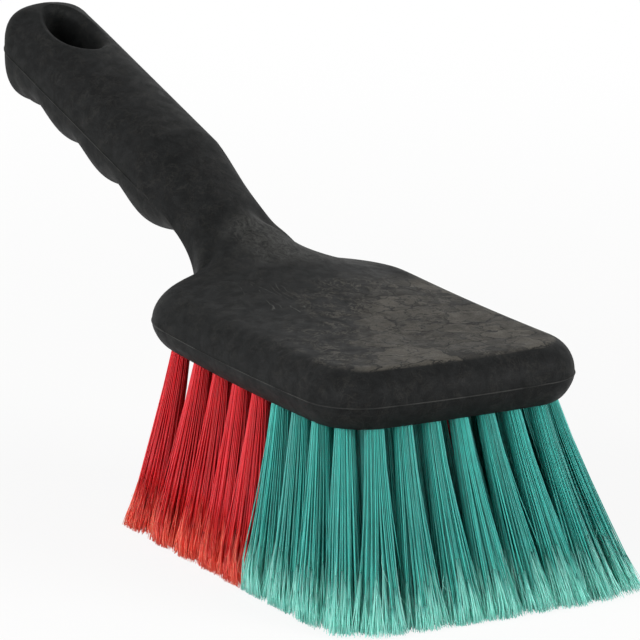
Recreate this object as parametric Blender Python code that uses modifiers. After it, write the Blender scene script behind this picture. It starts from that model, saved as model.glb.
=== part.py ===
"""Short-handled wash brush: one moulded grip and block with a bristle tuft in each of its blind holes.

Metres, +Z up, +X towards the block's front edge, origin below the middle of the whole brush on the
plane of the trimmed bristle tips. Heights are measured from that plane.
"""

import math

import bmesh
import bpy
from mathutils import Matrix, Vector

# Moulded body, overall
BODY_LENGTH = 0.2487
FRONT_REACH = 0.0185
BLOCK_LENGTH = 0.1147
BLOCK_WIDTH = 0.0776
BLOCK_FRONT_BOW = 0.0033
BLOCK_SIDE_BOW = 0.0005
FRONT_CORNER_RADIUS = 0.0148
REAR_CORNER_LENGTH = 0.0180

# Middle line that the block's ribs run in to, past its corners
CORNER_SPINE_RUN = 0.0018
FRONT_SPINE_RUN = 0.0041
FLARE_SPINE_BACK = 0.0050

# Block heights
BRISTLE_LENGTH = 0.0486
UNDERSIDE_TO_PARTING = 0.0066
PARTING_TO_EDGE = 0.0092
EDGE_ROLL = 0.0086
REAR_ROLL = 0.0122
REAR_ROLL_FROM = 0.0180
UNDER_ROLL = 0.0043
BLOCK_SAG = 0.0011
CROWN_FRONT_DISH = 0.0008
CROWN_REAR_RISE = 0.0042

# Grip
GRIP_WIDTH = 0.0290
GRIP_TOP_RISE = 0.0136
GRIP_UNDER_DROP = 0.0142
GRIP_TILT = math.radians(15.0)
GRIP_END_AXIS_HEIGHT = 0.1018
GRIP_END_LENGTH = 0.0125
GRIP_END_FLAT = 0.0004
FINGER_PITCH = 0.0245
FINGER_DEPTH = 0.0034
FINGER_COUNT = 3
LAST_FINGER_FROM_SHOULDER = 0.0035

# Neck, from the grip's shoulder down to the block
SHOULDER_BEHIND_BLOCK = 0.0463
SHOULDER_FALL = 0.54
NECK_FOOT_INTO_BLOCK = 0.0227
NECK_FOOT_FALL = 0.16
NECK_WIDTH = 0.0261
NECK_TAPER_LENGTH = 0.0200
NECK_WAIST_BEHIND_BLOCK = 0.0218
NECK_UNDER_FILLET_LENGTH = 0.0225
NECK_UNDER_HEIGHT = 0.0680
FLARE_LENGTH = 0.0215
PARTING_END_FALL = 0.65

# Hanging hole, square to the grip's top
HOLE_FROM_END = 0.0198
HOLE_LENGTH = 0.0262
HOLE_WIDTH = 0.0112
HOLE_RIM = 0.0036
HOLE_TILT = GRIP_TILT

# Bristle tufts
TUFT_DIAMETER = 0.0050
TUFT_CLEARANCE = 0.0003
TUFT_HOLE_DEPTH = 0.0110
TUFT_SHOWING = 0.0030
TUFT_EDGE_INSET = 0.0070
REAR_INSET = 0.0078
SIDE_ROW_REAR_INSET = 0.0278
REAR_CORNER_TUFT_INSET = 0.0138
CORNER_TUFT_ADVANCE = 0.0021
CORNER_TUFT_SPREAD = 0.0021
FRONT_ROW_END_INSET = 0.0148
REAR_ROW_END_INSET = 0.0208
SIDE_TUFT_COUNT = 7
FRONT_TUFT_COUNT = 7
REAR_TUFT_COUNT = 5
INNER_ROW_COUNT = 4
INNER_TUFT_COUNT = 7

# Bristle strands
STRANDS_ROUND_TUFT = 6
STRAND_ROOT_RADIUS = 0.00078
STRAND_TIP_RADIUS = 0.00155
STRAND_PACK_RADIUS = 0.0016
STRAND_ROOT_SEAT = 0.0015
REAR_SPLAY = 0.0015
SIDE_SPLAY = 0.0114

# Counts that set how fine the surfaces are
END_RIBS = 6
GRIP_RIBS = 19
NECK_RIBS = 4
FLARE_RIBS = 6
CORNER_RIBS = 5
SIDE_RIBS = 6
FRONT_RIBS = 4
ROLL_STEPS = 5
PLATEAU_STEPS = 4
UNDER_STEPS = 3
FLOOR_STEPS = 5
HOLE_SIDES = 20
TUFT_SIDES = 12
TUFT_HOLE_SIDES = 10
STRAND_SIDES = 3

# Shape exponents and shares
SECTION_EXPONENT_SHARE = 2.25
END_SECTION_EXPONENT_SHARE = 3.4
END_EXPONENT_SHARE = 2.7
FRONT_CORNER_EXPONENT_SHARE = 2.0
REAR_CORNER_EXPONENT_SHARE = 2.4
EDGE_ROLL_EXPONENT_SHARE = 2.15
REAR_ROLL_EXPONENT_SHARE = 2.0
UNDER_EXPONENT_SHARE = 1.45
PLATEAU_EXPONENT_SHARE = 0.8
END_SPINE_SHARE = 0.8
SIDE_SPINE_SHARE = 0.50
ROLL_LIMIT_SHARE = 0.9
FLARE_WIDTH_SHARE = 0.472
RED_LENGTH_SHARE = 0.564
STRAND_MIDDLE_SHARE = 0.5
TUFT_TIP_SPREAD_SHARE = 2.2
SPLAY_EXPONENT_SHARE = 1.12
HOLE_TOP_FLARE_SHARES = ((-1.0, 0.0), (-0.5, 0.134), (-0.134, 0.5), (0.05, 1.2))
HOLE_UNDER_FLARE_SHARES = ((-0.05, 0.6), (0.3, 0.2), (0.8, 0.0))
HOLE_OVERRUN_FLARE_SHARE = 1.4

# Colours and finish
BODY_COLOUR = (0.023, 0.024, 0.024)
RED_COLOUR = (0.50, 0.015, 0.018)
GREEN_COLOUR = (0.022, 0.27, 0.20)
BODY_ROUGHNESS = 0.5
BRISTLE_ROUGHNESS = 0.4
BODY_SMOOTH_ANGLE = math.radians(30.0)
TUFT_SMOOTH_ANGLE = math.radians(50.0)

# Places that follow from the sizes above
OVERALL_LENGTH = BODY_LENGTH + FRONT_REACH
FRONT_X = OVERALL_LENGTH / 2 - FRONT_REACH
END_X = FRONT_X - BODY_LENGTH
REAR_X = FRONT_X - BLOCK_LENGTH
SHOULDER_X = REAR_X - SHOULDER_BEHIND_BLOCK
WAIST_X = REAR_X - NECK_WAIST_BEHIND_BLOCK
FOOT_X = REAR_X + NECK_FOOT_INTO_BLOCK
FLARE_WIDTH = (BLOCK_WIDTH - NECK_WIDTH) / 2 * FLARE_WIDTH_SHARE
PARTING_Z = BRISTLE_LENGTH + UNDERSIDE_TO_PARTING
EDGE_Z = PARTING_Z + PARTING_TO_EDGE
TUFT_TIP_REACH = STRAND_PACK_RADIUS * TUFT_TIP_SPREAD_SHARE + STRAND_TIP_RADIUS
FRONT_SPLAY = FRONT_REACH + TUFT_EDGE_INSET - TUFT_TIP_REACH
MERGE = 0.00001
OVERRUN = 0.010


def mix(a, b, share):
    return a + (b - a) * share


def ease(value):
    value = min(1.0, max(0.0, value))
    return value * value * (3 - 2 * value)


def between(x, start, end):
    return min(1.0, max(0.0, (x - start) / (end - start)))


def fair_curve(x, start, start_z, start_slope, end, end_z, end_slope):
    """Height at x on the cubic that joins two heights with the given slopes."""
    run = end - start
    u = between(x, start, end)
    rise = start_z * (2 * u**3 - 3 * u**2 + 1) + end_z * (3 * u**2 - 2 * u**3)
    lean = start_slope * (u**3 - 2 * u**2 + u) + end_slope * (u**3 - u**2)
    return rise + lean * run


def round_corner(angle, length, width, exponent):
    """Point on a quarter of a superellipse, from (0, 0) along the length's end to (length, width)."""
    x = length * (1 - math.cos(angle) ** (2 / exponent))
    y = width * math.sin(angle) ** (2 / exponent)
    return x, y


def grip_axis_z(x):
    return GRIP_END_AXIS_HEIGHT - (x - END_X) * math.tan(GRIP_TILT)


def finger_wave(x):
    """0 on the swellings between the fingers, -1 in the finger grooves, and 0 past the last of them."""
    last = SHOULDER_X - LAST_FINGER_FROM_SHOULDER
    first = last - FINGER_COUNT * FINGER_PITCH
    turn = math.cos(2 * math.pi * (x - last) / FINGER_PITCH)
    fade_in = ease(between(x, first, first + FINGER_PITCH / 2))
    fade_out = ease(between(x, SHOULDER_X + FINGER_PITCH / 2, last))
    return fade_in * fade_out * (turn - 1) / 2


def block_sag(x):
    """How far the block bows down between its two ends."""
    middle = FRONT_X - BLOCK_LENGTH / 2
    return BLOCK_SAG * max(0.0, 1 - (2 * (x - middle) / BLOCK_LENGTH) ** 2)


def spine_top(x):
    """Height of the top on the centre line."""
    grip_end = grip_axis_z(SHOULDER_X) + GRIP_TOP_RISE
    foot = EDGE_Z + CROWN_REAR_RISE
    if x < SHOULDER_X:
        drop = GRIP_END_FLAT * (1 - ease(between(x, END_X, END_X + 2 * GRIP_END_LENGTH)))
        return grip_axis_z(x) + GRIP_TOP_RISE - drop
    if x < FOOT_X:
        return fair_curve(x, SHOULDER_X, grip_end, -SHOULDER_FALL, FOOT_X, foot, -NECK_FOOT_FALL)
    return fair_curve(x, FOOT_X, foot, -NECK_FOOT_FALL, FRONT_X, EDGE_Z - CROWN_FRONT_DISH, 0)


def spine_bottom(x):
    """Height of the underside on the centre line: finger grooves, neck, fillet, then the flat block."""
    fillet_start = REAR_X - NECK_UNDER_FILLET_LENGTH
    drop = GRIP_UNDER_DROP - GRIP_END_FLAT * (1 - ease(between(x, END_X, END_X + 2 * GRIP_END_LENGTH)))
    grip = grip_axis_z(x) - drop - FINGER_DEPTH * finger_wave(x)
    if x < SHOULDER_X:
        return grip
    if x < fillet_start:
        start = grip_axis_z(SHOULDER_X) - drop - FINGER_DEPTH * finger_wave(SHOULDER_X)
        return fair_curve(x, SHOULDER_X, start, 0, fillet_start, NECK_UNDER_HEIGHT, 0)
    if x < REAR_X:
        across = (x - fillet_start) / NECK_UNDER_FILLET_LENGTH
        return BRISTLE_LENGTH + (NECK_UNDER_HEIGHT - BRISTLE_LENGTH) * math.sqrt(1 - across**2)
    return BRISTLE_LENGTH


def parting_z(x):
    """Height of the mould parting line, along the outline."""
    start = SHOULDER_X
    tilt = math.tan(GRIP_TILT)
    if x < start:
        return grip_axis_z(x)
    if x < REAR_X:
        return fair_curve(x, start, grip_axis_z(start), -tilt, REAR_X, PARTING_Z, -PARTING_END_FALL)
    return PARTING_Z


def front_bow(y):
    return BLOCK_FRONT_BOW * (2 * y / BLOCK_WIDTH) ** 2


def side_y(x):
    middle = FRONT_X - BLOCK_LENGTH / 2
    return BLOCK_WIDTH / 2 - BLOCK_SIDE_BOW * (2 * (x - middle) / BLOCK_LENGTH) ** 2


def grip_half_width(x):
    waist = ease(between(x, SHOULDER_X, SHOULDER_X + NECK_TAPER_LENGTH))
    return mix(GRIP_WIDTH, NECK_WIDTH, waist) / 2


def outline():
    """Half outline at the parting line, as ribs (x, y, spine x) from the grip's end to the front."""
    ribs = []
    end_side_x = END_X + GRIP_END_LENGTH
    end_width = grip_half_width(end_side_x)
    for step in range(END_RIBS):
        angle = math.pi / 2 * step / END_RIBS
        x, y = round_corner(angle, GRIP_END_LENGTH, end_width, END_EXPONENT_SHARE)
        spine = END_X + GRIP_END_LENGTH * mix(END_SPINE_SHARE, 1.0, step / END_RIBS)
        ribs.append((END_X + x, y, spine))
    for step in range(GRIP_RIBS):
        x = mix(end_side_x, SHOULDER_X, step / GRIP_RIBS)
        ribs.append((x, grip_half_width(x), x))
    for step in range(NECK_RIBS):
        x = mix(SHOULDER_X, WAIST_X, step / NECK_RIBS)
        ribs.append((x, grip_half_width(x), x))
    spine_start = REAR_X - FLARE_SPINE_BACK
    for step in range(FLARE_RIBS):
        angle = math.pi / 2 * step / FLARE_RIBS
        x = WAIST_X + FLARE_LENGTH * math.sin(angle)
        y = NECK_WIDTH / 2 + FLARE_WIDTH * (1 - math.cos(angle))
        ribs.append((x, y, mix(WAIST_X, spine_start, step / FLARE_RIBS)))
    corner_start = (WAIST_X + FLARE_LENGTH, NECK_WIDTH / 2 + FLARE_WIDTH)
    side_start_x = corner_start[0] + REAR_CORNER_LENGTH
    corner_width = side_y(side_start_x) - corner_start[1]
    for step in range(CORNER_RIBS):
        angle = math.pi / 2 * step / CORNER_RIBS
        x, y = round_corner(angle, REAR_CORNER_LENGTH, corner_width, REAR_CORNER_EXPONENT_SHARE)
        spine = mix(spine_start, side_start_x, step / CORNER_RIBS)
        ribs.append((corner_start[0] + x, corner_start[1] + y, spine))
    side_end_x = FRONT_X - BLOCK_FRONT_BOW - FRONT_CORNER_RADIUS
    side_spine_end = FRONT_X - BLOCK_WIDTH * SIDE_SPINE_SHARE
    for step in range(SIDE_RIBS):
        x = mix(side_start_x, side_end_x, step / SIDE_RIBS)
        ribs.append((x, side_y(x), mix(side_start_x, side_spine_end, step / SIDE_RIBS)))
    corner_y = side_y(side_end_x) - FRONT_CORNER_RADIUS
    corner_length = FRONT_X - front_bow(corner_y) - side_end_x
    corner_spine_end = side_spine_end + CORNER_SPINE_RUN
    for step in range(CORNER_RIBS):
        angle = math.pi / 2 * (1 - step / CORNER_RIBS)
        back, y = round_corner(angle, corner_length, FRONT_CORNER_RADIUS, FRONT_CORNER_EXPONENT_SHARE)
        spine = mix(side_spine_end, corner_spine_end, step / CORNER_RIBS)
        ribs.append((side_end_x + corner_length - back, corner_y + y, spine))
    front_spine_end = corner_spine_end + FRONT_SPINE_RUN
    for step in range(FRONT_RIBS + 1):
        y = corner_y * (1 - step / FRONT_RIBS)
        spine = mix(corner_spine_end, front_spine_end, step / FRONT_RIBS)
        ribs.append((FRONT_X - front_bow(y), y, spine))
    return ribs


def block_share(x):
    """0 where the section is the grip's, 1 where it is the block's."""
    return ease(between(x, WAIST_X, WAIST_X + FLARE_LENGTH))


def rib_section(x, y, spine_x):
    """One rib, from the top of the centre line out to the parting line and back under it."""
    share = block_share(x)
    seam = parting_z(x)
    end_share = 1 - ease(between(x, END_X, END_X + GRIP_END_LENGTH))
    exponent = mix(SECTION_EXPONENT_SHARE, END_SECTION_EXPONENT_SHARE, end_share)
    reach = math.hypot(x - spine_x, y)
    crown = spine_top(spine_x) - seam
    keel = seam - spine_bottom(spine_x)
    edge = PARTING_TO_EDGE
    rear_share = ease(between(y, REAR_ROLL_FROM, REAR_ROLL_FROM + REAR_ROLL))
    rear_share *= 1 - ease(between(x, REAR_X, REAR_X + REAR_CORNER_LENGTH))
    roll = min(mix(EDGE_ROLL, REAR_ROLL, rear_share) / reach, ROLL_LIMIT_SHARE)
    roll_exponent = mix(EDGE_ROLL_EXPONENT_SHARE, REAR_ROLL_EXPONENT_SHARE, rear_share)
    under_roll = min(UNDER_ROLL / reach, ROLL_LIMIT_SHARE)
    upper = []
    steps = ROLL_STEPS + PLATEAU_STEPS
    for step in range(steps + 1):
        angle = math.pi / 2 * step / steps
        along_grip = 1 - math.cos(angle) ** (2 / exponent)
        rise_grip = crown * math.sin(angle) ** (2 / exponent)
        if step <= ROLL_STEPS:
            turn = math.pi / 2 * step / ROLL_STEPS
            along_block = roll * (1 - math.cos(turn) ** (2 / roll_exponent))
            rise_block = edge * math.sin(turn) ** (2 / roll_exponent)
        else:
            flat = (step - ROLL_STEPS) / PLATEAU_STEPS
            along_block = mix(roll, 1.0, flat)
            rise_block = mix(edge, crown, ease(flat**PLATEAU_EXPONENT_SHARE))
        upper.append((mix(along_grip, along_block, share), mix(rise_grip, rise_block, share)))
    lower = []
    steps = UNDER_STEPS + FLOOR_STEPS
    for step in range(1, steps + 1):
        angle = math.pi / 2 * step / steps
        along_grip = 1 - math.cos(angle) ** (2 / exponent)
        drop_grip = keel * math.sin(angle) ** (2 / exponent)
        if step <= UNDER_STEPS:
            turn = math.pi / 2 * step / UNDER_STEPS
            along_block = under_roll * (1 - math.cos(turn) ** (2 / UNDER_EXPONENT_SHARE))
            drop_block = (seam - BRISTLE_LENGTH) * math.sin(turn) ** (2 / UNDER_EXPONENT_SHARE)
        else:
            flat = (step - UNDER_STEPS) / FLOOR_STEPS
            along_block = mix(under_roll, 1.0, flat)
            drop_block = mix(seam - BRISTLE_LENGTH, keel, ease(flat))
        lower.append((mix(along_grip, along_block, share), mix(drop_grip, drop_block, share)))
    heights = [(along, seam + rise) for along, rise in reversed(upper)]
    heights += [(along, seam - drop) for along, drop in lower]
    points = []
    for along, height in heights:
        point_x = mix(x, spine_x, along)
        points.append(Vector((point_x, y * (1 - along), height - block_sag(point_x))))
    return points


def new_object(name, mesh, collection):
    thing = bpy.data.objects.new(name, mesh)
    collection.objects.link(thing)
    return thing


def mesh_from(builder, name):
    mesh = bpy.data.meshes.new(name)
    bmesh.ops.recalc_face_normals(builder, faces=builder.faces)
    builder.to_mesh(mesh)
    builder.free()
    return mesh


def loft(builder, rings, closed):
    """Quads between rings that have the same number of points."""
    made = [[builder.verts.new(point) for point in ring] for ring in rings]
    count = len(rings[0])
    for lower, upper in zip(made, made[1:]):
        for index in range(count if closed else count - 1):
            other = (index + 1) % count
            builder.faces.new((lower[index], lower[other], upper[other], upper[index]))
    return made


def add_cylinder(builder, radius, depth, sides, middle):
    """Upright cylinder with closed ends round a middle point."""
    bmesh.ops.create_cone(
        builder,
        cap_ends=True,
        segments=sides,
        radius1=radius,
        radius2=radius,
        depth=depth,
        matrix=Matrix.Translation(middle),
    )


def make_material(name, colour, roughness):
    material = bpy.data.materials.new(name)
    material.use_nodes = True
    shader = material.node_tree.nodes["Principled BSDF"]
    shader.inputs["Base Color"].default_value = (*colour, 1.0)
    shader.inputs["Roughness"].default_value = roughness
    shader.inputs["Metallic"].default_value = 0.0
    return material


def add_cut(body, cutter):
    cut = body.modifiers.new(cutter.name, "BOOLEAN")
    cut.operation = "DIFFERENCE"
    cut.solver = "EXACT"
    cut.object = cutter
    cutter.hide_render = True
    cutter.display_type = "WIRE"


def grip_top_drop(y):
    """How far the grip's rounded top lies below its middle line."""
    across = min(1.0, 2 * abs(y) / GRIP_WIDTH)
    rise = (1 - across**SECTION_EXPONENT_SHARE) ** (1 / SECTION_EXPONENT_SHARE)
    return GRIP_TOP_RISE * (1 - rise)


def make_hanging_hole(cutters):
    """Oval cutter with a rounded rim, which follows the grip's rounded top and underside."""
    centre_x = END_X + HOLE_FROM_END
    levels = [(-GRIP_UNDER_DROP - OVERRUN, HOLE_OVERRUN_FLARE_SHARE)]
    levels += [(HOLE_RIM * up - GRIP_UNDER_DROP, flare) for up, flare in HOLE_UNDER_FLARE_SHARES]
    levels += [(HOLE_RIM * up + GRIP_TOP_RISE, flare) for up, flare in HOLE_TOP_FLARE_SHARES]
    levels += [(GRIP_TOP_RISE + OVERRUN, HOLE_OVERRUN_FLARE_SHARE)]
    rings = []
    for height, flare in levels:
        ring = []
        for side in range(HOLE_SIDES):
            angle = 2 * math.pi * side / HOLE_SIDES
            x = (HOLE_LENGTH / 2 + HOLE_RIM * flare) * math.cos(angle)
            y = (HOLE_WIDTH / 2 + HOLE_RIM * flare) * math.sin(angle)
            drop = grip_top_drop(y) if height > 0 else -grip_top_drop(y)
            ring.append(Vector((x, y, height - drop)))
        rings.append(ring)
    builder = bmesh.new()
    made = loft(builder, rings, True)
    builder.faces.new(made[0])
    builder.faces.new(made[-1])
    cutter = new_object("hanging_hole_cutter", mesh_from(builder, "hanging_hole_cutter"), cutters)
    cutter.location = (centre_x, 0, grip_axis_z(centre_x))
    cutter.rotation_euler = (0, HOLE_TILT, 0)
    return cutter


def make_tuft_holes(places, cutters):
    """One cutter for all the blind holes, drilled up into the flat underside."""
    builder = bmesh.new()
    radius = TUFT_DIAMETER / 2 + TUFT_CLEARANCE
    depth = TUFT_HOLE_DEPTH + OVERRUN
    middle_z = BRISTLE_LENGTH + TUFT_HOLE_DEPTH - depth / 2
    for x, y in places:
        add_cylinder(builder, radius, depth, TUFT_HOLE_SIDES, Vector((x, y, middle_z)))
    return new_object("tuft_hole_cutters", mesh_from(builder, "tuft_hole_cutters"), cutters)


def make_body(places, parts, cutters, material):
    """Grip, neck and block as one moulding: half lofted from ribs, then mirrored and cut."""
    builder = bmesh.new()
    loft(builder, [rib_section(*rib) for rib in outline()], False)
    for vert in builder.verts:
        if abs(vert.co.y) < MERGE:
            vert.co.y = 0
    body = new_object("brush_body", mesh_from(builder, "brush_body"), parts)
    mirror = body.modifiers.new("both halves", "MIRROR")
    mirror.use_axis = (False, True, False)
    mirror.use_mirror_merge = True
    mirror.merge_threshold = MERGE
    add_cut(body, make_hanging_hole(cutters))
    add_cut(body, make_tuft_holes(places, cutters))
    body.data.materials.append(material)
    body.data.shade_smooth()
    body.data.set_sharp_from_angle(angle=BODY_SMOOTH_ANGLE)
    return body


def tuft_row(start, end, count):
    """Evenly spaced places from one end of a row to the other."""
    return [mix(start, end, step / (count - 1)) for step in range(count)]


def tuft_places():
    """Root places (x, y), alike on both sides of the centre line, from the block's rear to its front."""
    half_width = BLOCK_WIDTH / 2
    edge_y = half_width - TUFT_EDGE_INSET
    front_x = FRONT_X - TUFT_EDGE_INSET
    rear_x = REAR_X + REAR_INSET
    side_front_x = front_x - FRONT_CORNER_RADIUS
    places = []
    for x in tuft_row(side_front_x, REAR_X + SIDE_ROW_REAR_INSET, SIDE_TUFT_COUNT):
        places += [(x, edge_y), (x, -edge_y)]
    rear_corner = (REAR_X + REAR_CORNER_TUFT_INSET, edge_y - TUFT_DIAMETER / 8)
    places += [rear_corner, (rear_corner[0], -rear_corner[1])]
    front_end_y = half_width - FRONT_ROW_END_INSET
    for y in tuft_row(-front_end_y, front_end_y, FRONT_TUFT_COUNT):
        places.append((front_x - front_bow(y), y))
    corner_x = (side_front_x + front_x - front_bow(front_end_y)) / 2 + CORNER_TUFT_ADVANCE
    corner_y = (edge_y + front_end_y) / 2 + CORNER_TUFT_SPREAD
    places += [(corner_x, corner_y), (corner_x, -corner_y)]
    rear_end_y = half_width - REAR_ROW_END_INSET
    for y in tuft_row(-rear_end_y, rear_end_y, REAR_TUFT_COUNT):
        places.append((rear_x, y))
    for y in tuft_row(-edge_y, edge_y, INNER_ROW_COUNT + 2)[1:-1]:
        for x in tuft_row(rear_x, front_x, INNER_TUFT_COUNT + 2)[1:-1]:
            places.append((x, y))
    return sorted(places)


def splayed(x, y):
    """Where a bristle that leaves the block at (x, y) ends on the floor."""
    rear_row = REAR_X + REAR_INSET
    front_row = FRONT_X - TUFT_EDGE_INSET
    along = mix(-REAR_SPLAY, FRONT_SPLAY, (x - rear_row) / (front_row - rear_row))
    return x + along, y + SIDE_SPLAY * y / (BLOCK_WIDTH / 2 - TUFT_EDGE_INSET)


def strand_roots():
    """Places of a tuft's strands round its middle."""
    roots = [(0.0, 0.0)]
    for step in range(STRANDS_ROUND_TUFT):
        angle = 2 * math.pi * step / STRANDS_ROUND_TUFT
        roots.append((STRAND_PACK_RADIUS * math.cos(angle), STRAND_PACK_RADIUS * math.sin(angle)))
    return roots


def strand_ring(x, y, z, radius, turn):
    ring = []
    for side in range(STRAND_SIDES):
        angle = turn + 2 * math.pi * side / STRAND_SIDES
        ring.append(Vector((x + radius * math.cos(angle), y + radius * math.sin(angle), z)))
    return ring


def make_tuft(name, x, y, parts, cutters, material):
    """One tuft: the packed root that sits in its hole, joined to strands that splay out to cut tips."""
    top = BRISTLE_LENGTH + TUFT_HOLE_DEPTH - TUFT_CLEARANCE
    foot = BRISTLE_LENGTH - TUFT_SHOWING
    tip_x, tip_y = splayed(x, y)
    builder = bmesh.new()
    for root_x, root_y in strand_roots():
        end = (tip_x + root_x * TUFT_TIP_SPREAD_SHARE, tip_y + root_y * TUFT_TIP_SPREAD_SHARE)
        turn = math.atan2(root_y, root_x)
        start = (x + root_x, y + root_y)
        bend = STRAND_MIDDLE_SHARE**SPLAY_EXPONENT_SHARE
        middle = (mix(start[0], end[0], bend), mix(start[1], end[1], bend))
        middle_radius = mix(STRAND_ROOT_RADIUS, STRAND_TIP_RADIUS, STRAND_MIDDLE_SHARE)
        rings = [
            strand_ring(*start, foot + STRAND_ROOT_SEAT, STRAND_ROOT_RADIUS, turn),
            strand_ring(*start, foot, STRAND_ROOT_RADIUS, turn),
            strand_ring(*middle, foot * (1 - STRAND_MIDDLE_SHARE), middle_radius, turn),
            strand_ring(*end, 0, STRAND_TIP_RADIUS, turn),
        ]
        made = loft(builder, rings, True)
        builder.faces.new(made[0])
        builder.faces.new(made[-1])
    strands = new_object(name + "_strands", mesh_from(builder, name + "_strands"), cutters)
    strands.hide_render = True
    strands.display_type = "WIRE"
    builder = bmesh.new()
    add_cylinder(builder, TUFT_DIAMETER / 2, top - foot, TUFT_SIDES, Vector((x, y, (top + foot) / 2)))
    tuft = new_object(name, mesh_from(builder, name), parts)
    join = tuft.modifiers.new("strands", "BOOLEAN")
    join.operation = "UNION"
    join.solver = "EXACT"
    join.object = strands
    tuft.data.materials.append(material)
    tuft.data.shade_smooth()
    tuft.data.set_sharp_from_angle(angle=TUFT_SMOOTH_ANGLE)
    return tuft


def main():
    for thing in list(bpy.data.objects):
        bpy.data.objects.remove(thing, do_unlink=True)
    parts = bpy.data.collections.new("scrub_brush")
    cutters = bpy.data.collections.new("cutters")
    bpy.context.scene.collection.children.link(parts)
    bpy.context.scene.collection.children.link(cutters)
    black = make_material("black moulded polypropylene", BODY_COLOUR, BODY_ROUGHNESS)
    red = make_material("red polyester bristle", RED_COLOUR, BRISTLE_ROUGHNESS)
    green = make_material("green polyester bristle", GREEN_COLOUR, BRISTLE_ROUGHNESS)
    places = tuft_places()
    make_body(places, parts, cutters, black)
    counts = {"red": 0, "green": 0}
    for x, y in places:
        colour = "red" if x < REAR_X + BLOCK_LENGTH * RED_LENGTH_SHARE else "green"
        counts[colour] += 1
        name = f"{colour}_tuft_{counts[colour]:02d}"
        make_tuft(name, x, y, parts, cutters, red if colour == "red" else green)
    print("tufts", counts)


main()
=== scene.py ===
"""Looks of a short-handled scrub brush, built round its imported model.

The file is laid out as an add-on: sizes and colours are properties, each kind of piece has an
operator, and a panel lists them. Run as a script, it makes every piece in order. Units are metres,
+Z is up, and the bristles' cut tips stand on z = 0.
"""

import math
from functools import partial

import bmesh
import bpy
import numpy as np
from bpy.props import FloatProperty, FloatVectorProperty, IntProperty, PointerProperty
from mathutils import Matrix, Vector


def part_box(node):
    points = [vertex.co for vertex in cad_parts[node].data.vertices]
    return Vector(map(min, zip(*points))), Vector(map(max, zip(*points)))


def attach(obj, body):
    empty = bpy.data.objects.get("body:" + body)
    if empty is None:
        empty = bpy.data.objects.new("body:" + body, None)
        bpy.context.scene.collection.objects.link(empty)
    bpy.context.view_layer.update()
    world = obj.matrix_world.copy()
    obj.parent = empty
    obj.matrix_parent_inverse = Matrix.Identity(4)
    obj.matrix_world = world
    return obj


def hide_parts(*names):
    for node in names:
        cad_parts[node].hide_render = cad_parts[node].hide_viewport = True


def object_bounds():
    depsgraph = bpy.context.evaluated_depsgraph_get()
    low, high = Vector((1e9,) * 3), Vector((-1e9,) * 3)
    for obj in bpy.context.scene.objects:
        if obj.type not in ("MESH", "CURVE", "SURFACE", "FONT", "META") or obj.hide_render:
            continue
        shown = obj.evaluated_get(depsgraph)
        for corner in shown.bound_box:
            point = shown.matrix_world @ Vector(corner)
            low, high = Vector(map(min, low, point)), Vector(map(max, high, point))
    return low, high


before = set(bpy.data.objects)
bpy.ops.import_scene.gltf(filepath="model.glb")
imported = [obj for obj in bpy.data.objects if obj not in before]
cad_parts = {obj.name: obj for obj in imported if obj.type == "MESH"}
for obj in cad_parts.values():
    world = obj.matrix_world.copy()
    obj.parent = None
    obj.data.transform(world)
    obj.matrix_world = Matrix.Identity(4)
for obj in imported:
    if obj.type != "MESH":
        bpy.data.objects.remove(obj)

bl_info = {
    "name": "Scrub Brush",
    "version": (1, 0, 0),
    "blender": (4, 5, 0),
    "location": "View3D > Sidebar > Scrub Brush",
    "description": "Makes a scrub brush's moulded body, bristle tufts, staples and studio",
    "category": "Object",
}

ROOT = "root"

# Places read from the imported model
BODY_NODE = "brush_body"
BODY_LOW, BODY_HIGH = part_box(BODY_NODE)
CAD_LOW, CAD_HIGH = [Vector(corner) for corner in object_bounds()]
TUFT_NODES = sorted(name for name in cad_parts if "_tuft_" in name)

# Body outline
BLOCK_LENGTH = 0.1147
BLOCK_WIDTH = BODY_HIGH.y - BODY_LOW.y
BLOCK_FRONT_BOW = 0.0033
BLOCK_SIDE_BOW = 0.0005
FRONT_CORNER_RADIUS = 0.0148
REAR_CORNER_LENGTH = 0.0180
FRONT_X = BODY_HIGH.x
END_X = BODY_LOW.x
REAR_X = FRONT_X - BLOCK_LENGTH
BLOCK_MIDDLE_X = FRONT_X - BLOCK_LENGTH / 2

# Middle line that the block's ribs run in to
CORNER_SPINE_RUN = 0.0018
FRONT_SPINE_RUN = 0.0041
FLARE_SPINE_BACK = 0.0050

# Block heights
BRISTLE_LENGTH = 0.0486
UNDERSIDE_TO_PARTING = 0.0066
PARTING_TO_EDGE = 0.0092
EDGE_ROLL = 0.0086
REAR_ROLL = 0.0122
REAR_ROLL_FROM = 0.0180
UNDER_ROLL = 0.0043
BLOCK_SAG = 0.0011
CROWN_FRONT_DISH = 0.0008
CROWN_REAR_RISE = 0.0042
PARTING_Z = BRISTLE_LENGTH + UNDERSIDE_TO_PARTING
EDGE_Z = PARTING_Z + PARTING_TO_EDGE

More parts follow.
